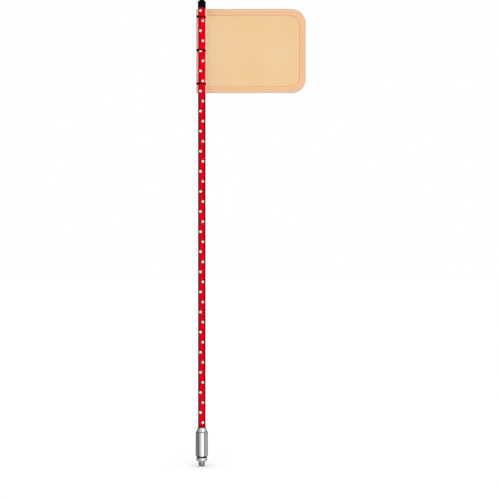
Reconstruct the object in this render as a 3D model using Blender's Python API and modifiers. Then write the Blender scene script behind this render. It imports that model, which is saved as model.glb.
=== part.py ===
"""LED light whip with a high-visibility mesh flag, for the mast socket of a site vehicle.

Metres, +Z up the pole. The origin is on the pole's axis at the end of the plug's nose. The flag
flies to +X, behind the pole, and the front of the whip faces -Y.
"""

import math

import bmesh
import bpy
from mathutils import Matrix

MM = 0.001
GAP = 0.3 * MM
TURN_STEPS = 40
SMALL_STEPS = 24

# Plug: the nose and its seating cone go down into the vehicle's socket.
NOSE_R = 10.35 * MM
NOSE_TIP_R = 4.4 * MM
NOSE_ROUND = 6.4 * MM
NOSE_TOP = 13.8 * MM
CONE_FOOT = (10.9 * MM, 14.4 * MM)
COLLAR_R = 18.4 * MM
COLLAR_LOW = 19.9 * MM
COLLAR_TOP = 28.2 * MM
NECK_R = 14.3 * MM
SHANK_R = 9.0 * MM
SHANK_TOP = 50.0 * MM
PLUG_BORE_R = 5.1 * MM
MOUTH_R = 3.2 * MM
MOUTH_DEPTH = 2.0 * MM

# Hexagonal base body, 36 mm across its flats.
HEX_FLATS = 36.0 * MM
HEX_CORNER_R = HEX_FLATS / math.sqrt(3)
HEX_BOTTOM = 31.5 * MM
HEX_BOTTOM_R = 17.3 * MM
HEX_LOW_CORNER = 34.3 * MM
HEX_HIGH_CORNER = 109.2 * MM
HEX_HIGH_FLAT = 115.2 * MM
CONE_TOP_R = 14.0 * MM
CONE_TOP = 125.0 * MM
HEX_TOP = 127.7 * MM
LIP_R = 13.4 * MM
ENVELOPE_R = 22.5 * MM
CAVITY_R = 11.0 * MM
CAVITY_LOW = 56.0 * MM
SOCKET_LOW = 92.0 * MM

# Lens tube and what is sealed in it.
TUBE_R = 12.5 * MM
TUBE_BORE_R = 10.5 * MM
TUBE_TOP = 1537.0 * MM
FIT = 0.15 * MM
SEAL_Z = 105.0 * MM
SEAL_WIRE_R = 0.85 * MM
CORE_WIDTH = 14.0 * MM
CORE_DEPTH = 6.8 * MM
CORE_BOTTOM = 95.3 * MM
CORE_TOP = 1531.2 * MM
HOLDER_R = TUBE_BORE_R - GAP
FOOT_LOW = SOCKET_LOW + 2 * GAP
FOOT_TOP = FOOT_LOW + 11.4 * MM
HEAD_HEIGHT = 7.2 * MM
LEAD_HOLE_Y = 6.0 * MM

# LEDs stand in two staggered columns, thirty to the metre, on boards of fourteen.
LED_PITCH = 33.28 * MM
LED_FIRST_Z = 144.4 * MM
LED_COLUMN_X = 3.7 * MM
LED_R = 4.3 * MM
LED_TOP_Y = 5.5 * MM
LEDS_PER_BOARD = 14
BOARD_WIDTH = 16.4 * MM
BOARD_THICK = 1.0 * MM
BOARD_INNER_Y = CORE_DEPTH / 2 + GAP
BOARD_NAMES = ("lower", "middle", "upper")

# Flag, cable-tied behind the pole.
FLAG_Y = 13.6 * MM
FLAG_LEFT = -18.8 * MM
FLAG_RIGHT = 344.6 * MM
FLAG_LOW = 1238.3 * MM
FLAG_HIGH = 1518.0 * MM
FLAG_CORNER_R = 45.0 * MM
HEM_INNER_CORNER_R = 34.0 * MM
FLAG_MID_Z = (FLAG_LOW + FLAG_HIGH) / 2
FOLD_X = 15.4 * MM
FOLD_GAP = 0.5 * MM
BAND_THICK = 0.8 * MM
MESH_THICK = 0.6 * MM
HEM_WIDTH = 22.0 * MM
HEM_END_WIDTH = 19.4 * MM
HEM_THICK = 1.2 * MM

# End cap.
CAP_R = 13.3 * MM
CAP_BOTTOM = FLAG_HIGH + GAP
CAP_SHOULDER = 1542.4 * MM
CAP_CORNER_R = 4.6 * MM
NIB_R = 8.0 * MM
NIB_ROUND = 1.3 * MM
NIB_TOP = 1549.6 * MM

# Sprung centre contact.
INSULATOR_R = 4.9 * MM
INSULATOR_LOW = MOUTH_DEPTH + GAP
INSULATOR_TOP = 46.0 * MM
PIN_BORE_R = 2.5 * MM
PIN_R = 2.42 * MM
PIN_TIP = 0.6 * MM
PIN_FLANGE_R = 3.6 * MM
PIN_SEAT = 12.0 * MM
PIN_FLANGE_TOP = 14.4 * MM
PIN_GUIDE_R = 1.4 * MM
PIN_GUIDE_TOP = 20.0 * MM
SPRING_BORE_R = 3.8 * MM
SPRING_R = 2.7 * MM
SPRING_WIRE_R = 0.3 * MM
SPRING_TURNS = 5
TERMINAL_LOW = 34.0 * MM
TERMINAL_SHOULDER = 44.6 * MM
TERMINAL_TOP = 52.0 * MM

# Driver board in the hexagonal body.
DRIVER_LOW = 60.0 * MM
DRIVER_TOP = 90.0 * MM
DRIVER_CHIPS = (
    ((-4.0 * MM, -3.2 * MM, 64.0 * MM), (4.0 * MM, 0.0, 72.0 * MM)),
    ((-6.5 * MM, 0.0, 76.0 * MM), (-2.0 * MM, 3.0 * MM, 84.0 * MM)),
    ((1.5 * MM, 0.0, 64.0 * MM), (6.5 * MM, 2.2 * MM, 70.0 * MM)),
    ((-2.5 * MM, -2.4 * MM, 78.0 * MM), (2.5 * MM, 0.0, 81.5 * MM)),
)
DRIVER_WIDTH = 18.0 * MM
DRIVER_THICK = 1.6 * MM
LEAD_R = 0.8 * MM
SUPPLY_RED_X = -2.0 * MM
SUPPLY_BLACK_X = 5.0 * MM
EARTH_X = 7.0 * MM
BOARD_LEAD_DROP = 4.0 * MM
BOARD_LEAD_RISE = 10.0 * MM

# Cable ties.
TIE_HEIGHTS = {"top": 1489.0 * MM, "middle": 1377.4 * MM, "bottom": 1267.1 * MM}
TIE_INNER_R = TUBE_R + 0.35 * MM
TIE_THICK = 1.2 * MM
TIE_WIDTH = 3.6 * MM
TIE_BACK_Y = 15.2 * MM
TIE_CORNER_R = 1.2 * MM
TIE_HEAD_ANGLE = math.radians(208)
TIE_HEAD_SIZE = (5.2 * MM, 8.0 * MM, 8.0 * MM)
TIE_TAIL_SIZE = (1.2 * MM, 4.0 * MM, 4.4 * MM)


# ---------------------------------------------------------------- scene and materials


def clear_scene():
    for old in list(bpy.data.objects):
        bpy.data.objects.remove(old)


def new_collection(name):
    collection = bpy.data.collections.new(name)
    bpy.context.scene.collection.children.link(collection)
    return collection


def make_material(name, colour, roughness, metallic=0.0, transmission=0.0):
    material = bpy.data.materials.new(name)
    material.use_nodes = True
    shader = material.node_tree.nodes["Principled BSDF"]
    shader.inputs["Base Color"].default_value = (*colour, 1.0)
    shader.inputs["Roughness"].default_value = roughness
    shader.inputs["Metallic"].default_value = metallic
    shader.inputs["Transmission Weight"].default_value = transmission
    material.diffuse_color = (*colour, 1.0)
    return material


def add_object(name, data, collection, material=None):
    obj = bpy.data.objects.new(name, data)
    collection.objects.link(obj)
    if material:
        data.materials.append(material)
    return obj


def hide_helper(obj):
    obj.hide_render = True
    obj.display_type = "WIRE"
    return obj


# ---------------------------------------------------------------- shapes


def turned(name, profile, collection, material=None, steps=TURN_STEPS, closed=False):
    """A turned solid: the profile of (radius, height) points runs down its outer side."""
    bm = bmesh.new()
    points = [bm.verts.new((radius, 0.0, height)) for radius, height in profile]
    following = points[1:] + points[:1] if closed else points[1:]
    for low, high in zip(points, following):
        bm.edges.new((low, high))
    mesh = bpy.data.meshes.new(name)
    bm.to_mesh(mesh)
    bm.free()
    obj = add_object(name, mesh, collection, material)
    screw = obj.modifiers.new("Turn", "SCREW")
    screw.axis = "Z"
    screw.angle = math.tau
    screw.steps = steps
    screw.render_steps = steps
    screw.use_merge_vertices = True
    screw.merge_threshold = 0.00001
    screw.use_smooth_shade = True
    return obj


def add_block(bm, low, high, turn=0.0):
    """Adds a box between two corners, turned about Z after it is placed."""
    size = [upper - lower for lower, upper in zip(low, high)]
    centre = [(lower + upper) / 2 for lower, upper in zip(low, high)]
    place = Matrix.Rotation(turn, 4, "Z") @ Matrix.Translation(centre) @ Matrix.Diagonal((*size, 1.0))
    bmesh.ops.create_cube(bm, size=1.0, matrix=place)


def add_rod(bm, radius, length, place, sides=SMALL_STEPS):
    """Adds a cylinder along its own Z, centred on the origin of the matrix place."""
    bmesh.ops.create_cone(
        bm, cap_ends=True, segments=sides, radius1=radius, radius2=radius, depth=length, matrix=place
    )


def finish_mesh(name, bm, collection, material=None):
    mesh = bpy.data.meshes.new(name)
    bm.to_mesh(mesh)
    bm.free()
    return add_object(name, mesh, collection, material)


def combine(obj, operand, operation):
    """Cuts, joins or intersects obj with a hidden helper."""
    boolean = obj.modifiers.new(operation.title(), "BOOLEAN")
    boolean.operation = operation
    boolean.solver = "EXACT"
    boolean.object = hide_helper(operand)


def arc(centre, radius, start, end, count):
    """Points on an arc between two angles in degrees, both ends included."""
    for step in range(count + 1):
        angle = math.radians(start + (end - start) * step / count)
        yield centre[0] + radius * math.cos(angle), centre[1] + radius * math.sin(angle)


def flat_outline(name, outlines, thickness, collection, material, place):
    """A plate of the given outlines, drawn on the curve's own XY plane and then placed."""
    curve = bpy.data.curves.new(name, "CURVE")
    curve.dimensions = "2D"
    curve.fill_mode = "BOTH"
    curve.extrude = thickness / 2
    for outline in outlines:
        spline = curve.splines.new("POLY")
        spline.points.add(len(outline) - 1)
        for point, (across, up) in zip(spline.points, outline):
            point.co = (across, up, 0.0, 1.0)
        spline.use_cyclic_u = True
    obj = add_object(name, curve, collection, material)
    obj.matrix_world = place
    return obj


def wire(name, points, radius, collection, material):
    """A round wire through the given points, with closed ends."""
    curve = bpy.data.curves.new(name, "CURVE")
    curve.dimensions = "3D"
    curve.bevel_depth = radius
    curve.bevel_resolution = 2
    curve.use_fill_caps = True
    spline = curve.splines.new("POLY")
    spline.points.add(len(points) - 1)
    for point, place in zip(spline.points, points):
        point.co = (*place, 1.0)
    return add_object(name, curve, collection, material)


def smooth_route(stops, steps):
    """Points on a curve that leaves and meets each pair of stops along Z."""
    points = [stops[0]]
    for (x0, y0, z0), (x1, y1, z1) in zip(stops, stops[1:]):
        for step in range(1, steps + 1):
            along = step / steps
            blend = along * along * (3 - 2 * along)
            points.append((x0 + (x1 - x0) * blend, y0 + (y1 - y0) * blend, z0 + (z1 - z0) * along))
    return points


def as_mesh(obj):
    """Turns a curve object into a mesh object with its caps welded, in the same place."""
    graph = bpy.context.evaluated_depsgraph_get()
    mesh = bpy.data.meshes.new_from_object(obj.evaluated_get(graph))
    bm = bmesh.new()
    bm.from_mesh(mesh)
    bmesh.ops.remove_doubles(bm, verts=bm.verts, dist=0.000001)
    bm.to_mesh(mesh)
    bm.free()
    name = obj.name
    collection = obj.users_collection[0]
    place = obj.matrix_world.copy()
    bpy.data.objects.remove(obj)
    solid = add_object(name, mesh, collection)
    solid.matrix_world = place
    return solid


def parent_empty(name, place, collection, children):
    """An empty on a joint's axis that carries the pieces of one moving body."""
    empty = bpy.data.objects.new(name, None)
    collection.objects.link(empty)
    empty.location = place
    empty.empty_display_size = 0.03
    for child in children:
        child.parent = empty
        child.matrix_parent_inverse = Matrix.Translation(place).inverted()


# ---------------------------------------------------------------- plug and sprung contact


def plug_profile():
    """The plug's outer side from shank to nose, then its bore back up to the shank."""
    collar_edge = 0.5 * MM
    outer = [
        (SHANK_R, SHANK_TOP),
        (SHANK_R, HEX_BOTTOM - GAP),
        (NECK_R, HEX_BOTTOM - GAP),
        (NECK_R, COLLAR_TOP),
        (COLLAR_R - 4 * collar_edge, COLLAR_TOP),
        (COLLAR_R - collar_edge, COLLAR_TOP - 3 * collar_edge),
        (COLLAR_R, COLLAR_TOP - 6 * collar_edge),
        (COLLAR_R, COLLAR_LOW + 2 * collar_edge),
        (COLLAR_R - collar_edge, COLLAR_LOW),
        CONE_FOOT,
        (NOSE_R, NOSE_TOP),
    ]
    round_r = NOSE_R - NOSE_TIP_R
    for across, up in arc((0.0, 0.0), 1.0, 0, -90, 6):
        outer.append((NOSE_TIP_R + round_r * across, NOSE_ROUND + NOSE_ROUND * up))
    bore = [
        (MOUTH_R, 0.0),
        (MOUTH_R, MOUTH_DEPTH),
        (PLUG_BORE_R, MOUTH_DEPTH),
        (PLUG_BORE_R, SHANK_TOP),
    ]
    return outer + bore


def make_plug(parts):
    steel = make_material("plug_steel", (0.52, 0.52, 0.53), 0.3, 1.0)
    turned("plug_spigot", plug_profile(), parts, steel, closed=True)


def ring_profile(major, minor, height, count=8):
    """A closed circle of points, clockwise, so that the ring's outer side runs down."""
    return list(arc((major, height), minor, 360, 360 / count, count - 1))


def make_o_ring(parts):
    rubber = make_material("o_ring_rubber", (0.02, 0.02, 0.02), 0.6)
    minor = (HEX_BOTTOM - COLLAR_TOP - 2 * GAP) / 2
    middle = (HEX_BOTTOM + COLLAR_TOP) / 2
    profile = ring_profile(NECK_R + FIT + minor, minor, middle)
    turned("o_ring_seal", profile, parts, rubber, closed=True)


def make_insulator(parts):
    nylon = make_material("insulator_nylon", (0.85, 0.84, 0.8), 0.5)
    profile = [
        (INSULATOR_R, INSULATOR_TOP),
        (INSULATOR_R, INSULATOR_LOW),
        (PIN_BORE_R, INSULATOR_LOW),
        (PIN_BORE_R, PIN_SEAT),
        (SPRING_BORE_R, PIN_SEAT),
        (SPRING_BORE_R, INSULATOR_TOP),
    ]
    turned("contact_insulator", profile, parts, nylon, SMALL_STEPS, closed=True)


def make_contact_pin(parts):
    brass = make_material("contact_brass", (0.83, 0.62, 0.27), 0.3, 1.0)
    tip_bevel = 1.0 * MM
    profile = [
        (0.0, PIN_GUIDE_TOP),
        (PIN_GUIDE_R, PIN_GUIDE_TOP),
        (PIN_GUIDE_R, PIN_FLANGE_TOP),
        (PIN_FLANGE_R, PIN_FLANGE_TOP),
        (PIN_FLANGE_R, PIN_SEAT + GAP),
        (PIN_R, PIN_SEAT + GAP),
        (PIN_R, PIN_TIP + tip_bevel),
        (PIN_R - tip_bevel, PIN_TIP),
        (0.0, PIN_TIP),
    ]
    return turned("contact_pin", profile, parts, brass, SMALL_STEPS)


def make_contact_spring(parts):
    steel = make_material("spring_steel", (0.6, 0.6, 0.62), 0.35, 1.0)
    per_turn = 10
    low = PIN_FLANGE_TOP + GAP + SPRING_WIRE_R
    high = TERMINAL_LOW - GAP - SPRING_WIRE_R
    points = []
    for step in range(SPRING_TURNS * per_turn + 1):
        angle = math.tau * step / per_turn
        height = low + (high - low) * step / (SPRING_TURNS * per_turn)
        points.append((SPRING_R * math.cos(angle), SPRING_R * math.sin(angle), height))
    return wire("contact_spring", points, SPRING_WIRE_R, parts, steel)


def make_terminal(parts):
    brass = make_material("terminal_brass", (0.8, 0.6, 0.28), 0.35, 1.0)
    stem_r = 1.6 * MM
    profile = [
        (0.0, TERMINAL_TOP),
        (stem_r, TERMINAL_TOP),
        (stem_r, TERMINAL_SHOULDER),
        (PIN_FLANGE_R, TERMINAL_SHOULDER),
        (PIN_FLANGE_R, TERMINAL_LOW),
        (0.0, TERMINAL_LOW),
    ]
    turned("contact_terminal", profile, parts, brass, SMALL_STEPS)


# ---------------------------------------------------------------- hexagonal base body


def hex_envelope_profile():
    """Chamfer cones at both ends of the hexagon, and the stepped bore through it."""
    flat_r = HEX_FLATS / 2
    high_slope = (HEX_HIGH_FLAT - HEX_HIGH_CORNER) / (HEX_CORNER_R - flat_r)
    low_slope = (HEX_LOW_CORNER - HEX_BOTTOM) / (HEX_CORNER_R - HEX_BOTTOM_R)
    beyond = ENVELOPE_R - HEX_CORNER_R
    groove_half = SEAL_WIRE_R + GAP
    groove_r = TUBE_R + FIT + 2 * SEAL_WIRE_R + GAP
    socket_r = TUBE_R + FIT
    outer = [
        (LIP_R, HEX_TOP),
        (CONE_TOP_R, CONE_TOP),
        (flat_r, HEX_HIGH_FLAT),
        (ENVELOPE_R, HEX_HIGH_CORNER - beyond * high_slope),
        (ENVELOPE_R, HEX_LOW_CORNER + beyond * low_slope),
        (HEX_BOTTOM_R, HEX_BOTTOM),
    ]
    bore = [
        (SHANK_R + FIT, HEX_BOTTOM),
        (SHANK_R + FIT, CAVITY_LOW),
        (CAVITY_R, CAVITY_LOW + (CAVITY_R - SHANK_R)),
        (CAVITY_R, SOCKET_LOW),
        (socket_r, SOCKET_LOW),
        (socket_r, SEAL_Z - groove_half),
        (groove_r, SEAL_Z - groove_half),
        (groove_r, SEAL_Z + groove_half),
        (socket_r, SEAL_Z + groove_half),
        (socket_r, HEX_TOP),
    ]
    return outer + bore


def make_hex_body(parts, cutters):
    steel = make_material("base_steel", (0.72, 0.72, 0.73), 0.22, 1.0)
    body = turned("hex_base_body", hex_envelope_profile(), parts, steel, closed=True)
    bm = bmesh.new()
    place = Matrix.Translation((0.0, 0.0, HEX_TOP / 2)) @ Matrix.Rotation(math.pi / 2, 4, "Z")
    add_rod(bm, HEX_CORNER_R, 2 * HEX_TOP, place, sides=6)
    prism = finish_mesh("hex_bar", bm, cutters)
    combine(body, prism, "INTERSECT")


def make_seal_ring(parts):
    rubber = make_material("seal_rubber", (0.03, 0.03, 0.03), 0.6)
    profile = ring_profile(TUBE_R + FIT + SEAL_WIRE_R, SEAL_WIRE_R, SEAL_Z)
    turned("tube_seal_ring", profile, parts, rubber, closed=True)


# ---------------------------------------------------------------- driver board and leads


def make_driver_board(parts, cutters):
    green = make_material("driver_laminate", (0.02, 0.18, 0.07), 0.45)
    bm = bmesh.new()
    half_width = DRIVER_WIDTH / 2
    half_thick = DRIVER_THICK / 2
    add_block(bm, (-half_width, -half_thick, DRIVER_LOW), (half_width, half_thick, DRIVER_TOP))
    board = finish_mesh("driver_board", bm, parts, green)
    bm = bmesh.new()
    for low, high in DRIVER_CHIPS:
        add_block(bm, low, high)
    combine(board, finish_mesh("driver_components", bm, cutters), "UNION")


def make_leads(parts):
    red = make_material("lead_red", (0.6, 0.02, 0.02), 0.5)
    black = make_material("lead_black", (0.02, 0.02, 0.02), 0.5)
    supply_end = DRIVER_LOW - GAP
    supply_red = [(0.0, 0.0, TERMINAL_TOP + GAP), (SUPPLY_RED_X, 0.0, supply_end)]
    supply_black = [(EARTH_X, 0.0, SHANK_TOP + GAP), (SUPPLY_BLACK_X, 0.0, supply_end)]
    wire("supply_lead_red", smooth_route(supply_red, 4), LEAD_R, parts, red)
    wire("supply_lead_black", smooth_route(supply_black, 4), LEAD_R, parts, black)
    driver_y = DRIVER_THICK / 2 + LEAD_R + GAP
    board_y = CORE_DEPTH / 2 + LEAD_R + GAP
    board_end = LED_FIRST_Z - LED_PITCH / 2 - GAP
    for name, side, material in (("front", -1, red), ("back", 1, black)):
        stops = [
            (0.0, side * driver_y, DRIVER_TOP - BOARD_LEAD_DROP),
            (0.0, side * LEAD_HOLE_Y, SOCKET_LOW + GAP),
            (0.0, side * LEAD_HOLE_Y, FOOT_TOP + BOARD_LEAD_RISE),
            (0.0, side * board_y, board_end),
        ]
        wire(f"board_lead_{name}", smooth_route(stops, 4), LEAD_R, parts, material)


# ---------------------------------------------------------------- lens tube and light core


def make_lens_tube(parts):
    red = make_material("lens_red", (0.75, 0.0, 0.02), 0.15, transmission=0.6)
    bottom = SOCKET_LOW + GAP
    profile = [(TUBE_R, TUBE_TOP), (TUBE_R, bottom), (TUBE_BORE_R, bottom), (TUBE_BORE_R, TUBE_TOP)]
    turned("lens_tube", profile, parts, red, closed=True)


def make_core_rod(parts):
    fibreglass = make_material("core_fibreglass", (0.75, 0.74, 0.66), 0.5)
    bm = bmesh.new()
    low = (-CORE_WIDTH / 2, -CORE_DEPTH / 2, CORE_BOTTOM)
    add_block(bm, low, (CORE_WIDTH / 2, CORE_DEPTH / 2, CORE_TOP))
    finish_mesh("core_rod", bm, parts, fibreglass)


def make_core_holder(name, low, high, pocket_low, pocket_high, lead_holes, parts, cutters, material):
    """A round spacer that centres the core in the tube, with a pocket for the core's end."""
    bm = bmesh.new()
    add_rod(bm, HOLDER_R, high - low, Matrix.Translation((0.0, 0.0, (low + high) / 2)), TURN_STEPS)
    holder = finish_mesh(name, bm, parts, material)
    half_width = CORE_WIDTH / 2 + GAP
    half_depth = CORE_DEPTH / 2 + GAP
    bm = bmesh.new()
    add_block(bm, (-half_width, -half_depth, pocket_low), (half_width, half_depth, pocket_high))
    for side in lead_holes:
        hole = Matrix.Translation((0.0, side * LEAD_HOLE_Y, (low + high) / 2))
        add_rod(bm, LEAD_R + 2 * GAP, 2 * (high - low), hole)
    combine(holder, finish_mesh(name + "_pocket", bm, cutters), "DIFFERENCE")


def make_core_holders(parts, cutters):
    plastic = make_material("holder_plastic", (0.8, 0.8, 0.78), 0.5)
    head_low = LED_FIRST_Z + (3 * LEDS_PER_BOARD - 0.5) * LED_PITCH + GAP
    head_high = head_low + HEAD_HEIGHT
    make_core_holder(
        "core_foot", FOOT_LOW, FOOT_TOP, CORE_BOTTOM - GAP, CORE_TOP, (-1, 1), parts, cutters, plastic
    )
    make_core_holder(
        "core_head", head_low, head_high, CORE_BOTTOM, CORE_TOP + GAP, (), parts, cutters, plastic
    )


def make_led_board(name, first_led, side, parts, cutters, material):
    """One strip of fourteen LEDs on the front (side -1) or back (side 1) of the core."""
    low = LED_FIRST_Z + (first_led - 0.5) * LED_PITCH + GAP / 2
    high = LED_FIRST_Z + (first_led + LEDS_PER_BOARD - 0.5) * LED_PITCH - GAP / 2
    turn = 0.0 if side < 0 else math.pi
    bm = bmesh.new()
    half_width = BOARD_WIDTH / 2
    outer_y = BOARD_INNER_Y + BOARD_THICK
    add_block(bm, (-half_width, -outer_y, low), (half_width, -BOARD_INNER_Y, high), turn)
    board = finish_mesh(name, bm, parts, material)
    bm = bmesh.new()
    root_y = BOARD_INNER_Y + BOARD_THICK / 2
    for led in range(first_led, first_led + LEDS_PER_BOARD):
        column = LED_COLUMN_X if led % 2 == 0 else -LED_COLUMN_X
        centre = (column, -(root_y + LED_TOP_Y) / 2, LED_FIRST_Z + led * LED_PITCH)
        upright = Matrix.Rotation(math.pi / 2, 4, "X") @ Matrix.Rotation(math.pi / 8, 4, "Z")
        place = Matrix.Rotation(turn, 4, "Z") @ Matrix.Translation(centre) @ upright
        add_rod(bm, LED_R, LED_TOP_Y - root_y, place, sides=8)
    combine(board, finish_mesh(name + "_leds", bm, cutters), "UNION")


def make_led_boards(parts, cutters):
    white = make_material("led_board_white", (0.9, 0.88, 0.86), 0.4)
    for side, face in ((-1, "front"), (1, "back")):
        for index, level in enumerate(BOARD_NAMES):
            name = f"led_board_{face}_{level}"
            make_led_board(name, index * LEDS_PER_BOARD, side, parts, cutters, white)


def make_end_cap(parts):
    rubber = make_material("cap_rubber", (0.015, 0.015, 0.015), 0.5)
    inner_r = TUBE_R + FIT
    corner = (CAP_R - CAP_CORNER_R, CAP_SHOULDER - CAP_CORNER_R)
    nib = [
        (0.0, NIB_TOP),
        (NIB_R - NIB_ROUND, NIB_TOP),
        (NIB_R, NIB_TOP - NIB_ROUND),
        (NIB_R, CAP_SHOULDER),
    ]
    skirt = [
        (CAP_R, CAP_BOTTOM),
        (inner_r, CAP_BOTTOM),
        (inner_r, TUBE_TOP + GAP),
        (0.0, TUBE_TOP + GAP),
    ]
    profile = nib + list(arc(corner, CAP_CORNER_R, 90, 0, 5)) + skirt
    turned("end_cap", profile, parts, rubber)


# ---------------------------------------------------------------- flag and cable ties


def flag_place():
    """Stands a plate drawn on XY up in the flag's plane, XZ."""
    return Matrix.Translation((0.0, FLAG_Y, 0.0)) @ Matrix.Rotation(math.pi / 2, 4, "X")


def make_hoist_band(parts, cutters):
    vinyl = make_material("hoist_vinyl", (0.95, 0.45, 0.22), 0.6)
    half = BAND_THICK / 2
    bm = bmesh.new()
    add_block(bm, (FLAG_LEFT, FLAG_Y - half, FLAG_LOW), (FOLD_X - FOLD_GAP, FLAG_Y + half, FLAG_HIGH))
    band = finish_mesh("flag_hoist_band", bm, parts, vinyl)
    bm = bmesh.new()
    slot_low = TIE_INNER_R - GAP
    slot_high = TIE_INNER_R + TIE_THICK + GAP
    half_height = TIE_WIDTH / 2 + GAP
    for height in TIE_HEIGHTS.values():
        for near, far in ((slot_low, slot_high), (-slot_high, -slot_low)):
            low = (near, FLAG_Y - 3 * half, height - half_height)
            add_block(bm, low, (far, FLAG_Y + 3 * half, height + half_height))
    combine(band, finish_mesh("tie_slots", bm, cutters), "DIFFERENCE")
    return band


def rounded_end(left, right, low, high, corner_r):
    """A rectangle whose two right-hand corners are rounded, counter-clockwise from bottom left."""
    outline = [(left, low)]
    outline += arc((right - corner_r, low + corner_r), corner_r, -90, 0, 10)
    outline += arc((right - corner_r, high - corner_r), corner_r, 0, 90, 10)
    outline.append((left, high))
    return outline


def make_mesh_panel(parts):
    mesh_cloth = make_material("flag_mesh", (0.92, 0.5, 0.2), 0.8)
    outline = rounded_end(
        FOLD_X + FOLD_GAP,
        FLAG_RIGHT - HEM_END_WIDTH - GAP,
        FLAG_LOW + HEM_WIDTH + GAP,
        FLAG_HIGH - HEM_WIDTH - GAP,
        HEM_INNER_CORNER_R - GAP,
    )
    return flat_outline("flag_mesh_panel", [outline], MESH_THICK, parts, mesh_cloth, flag_place())


def make_hem_tape(parts):
    tape = make_material("flag_hem", (0.95, 0.42, 0.16), 0.7)
    left = FOLD_X + FOLD_GAP
    outer = rounded_end(left, FLAG_RIGHT, FLAG_LOW, FLAG_HIGH, FLAG_CORNER_R)
    inner = rounded_end(
        left,
        FLAG_RIGHT - HEM_END_WIDTH,
        FLAG_LOW + HEM_WIDTH,
        FLAG_HIGH - HEM_WIDTH,
        HEM_INNER_CORNER_R,
    )
    outline = outer + inner[::-1]
    return flat_outline("flag_hem_tape", [outline], HEM_THICK, parts, tape, flag_place())


def tie_outline(offset):
    """The strap's path seen from above: round the pole's front, and square behind the flag."""
    radius = TIE_INNER_R + offset
    back = TIE_BACK_Y + offset
    corner = TIE_CORNER_R + offset
    points = list(arc((0.0, 0.0), radius, 180, 360, 24))
    points += arc((radius - corner, back - corner), corner, 0, 90, 4)
    points += arc((corner - radius, back - corner), corner, 90, 180, 4)
    return points


def make_cable_tie(level, height, parts, cutters, material):
    outlines = [tie_outline(TIE_THICK), tie_outline(0.0)]
    place = Matrix.Translation((0.0, 0.0, height))
    name = f"cable_tie_{level}"
    tie = as_mesh(flat_outline(name, outlines, TIE_WIDTH, parts, material, place))
    deep, wide, tall = TIE_HEAD_SIZE
    head_low = TIE_INNER_R + FIT
    head = ((head_low, -wide / 2, -tall / 2), (head_low + deep, wide / 2, tall / 2))
    tail_deep, tail_long, tail_tall = TIE_TAIL_SIZE
    tail_low = head_low + deep / 2
    tail = (
        (tail_low, 0.0, -tail_tall / 2),
        (tail_low + tail_deep, wide / 2 + tail_long, tail_tall / 2),
    )
    for piece, (low, high) in (("head", head), ("tail", tail)):
        bm = bmesh.new()
        add_block(bm, low, high, TIE_HEAD_ANGLE)
        helper = finish_mesh(f"{name}_{piece}", bm, cutters)
        helper.location = (0.0, 0.0, height)
        combine(tie, helper, "UNION")
    return tie


def make_cable_ties(parts, cutters):
    nylon = make_material("tie_nylon", (0.01, 0.01, 0.01), 0.4)
    ties = []
    for level, height in TIE_HEIGHTS.items():
        ties.append(make_cable_tie(level, height, parts, cutters, nylon))
    return ties


# ---------------------------------------------------------------- assembly


def build():
    clear_scene()
    parts = new_collection("led_light_whip")
    cutters = new_collection("cutters")
    make_plug(parts)
    make_o_ring(parts)
    make_insulator(parts)
    pin = make_contact_pin(parts)
    spring = make_contact_spring(parts)
    make_terminal(parts)
    make_hex_body(parts, cutters)
    make_seal_ring(parts)
    make_driver_board(parts, cutters)
    make_leads(parts)
    make_lens_tube(parts)
    make_core_rod(parts)
    make_core_holders(parts, cutters)
    make_led_boards(parts, cutters)
    make_end_cap(parts)
    band = make_hoist_band(parts, cutters)
    panel = make_mesh_panel(parts)
    hem = make_hem_tape(parts)
    ties = make_cable_ties(parts, cutters)
    parent_empty("contact_pin_slide", (0.0, 0.0, PIN_TIP), parts, [pin, spring])
    parent_empty("flag_swivel_axis", (0.0, 0.0, FLAG_MID_Z), parts, [band, *ties])
    parent_empty("flag_fold_axis", (FOLD_X, FLAG_Y, FLAG_MID_Z), parts, [panel, hem])


build()
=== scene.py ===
"""LED light whip with its mesh flag: the looks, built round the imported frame.

Metres, +Z up the pole, -Y the whip's front. The sections follow the order in which the whip is put
together, from the base plug to the cable ties.
"""

import math

import bmesh
import bpy
from mathutils import Matrix, Vector


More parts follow.
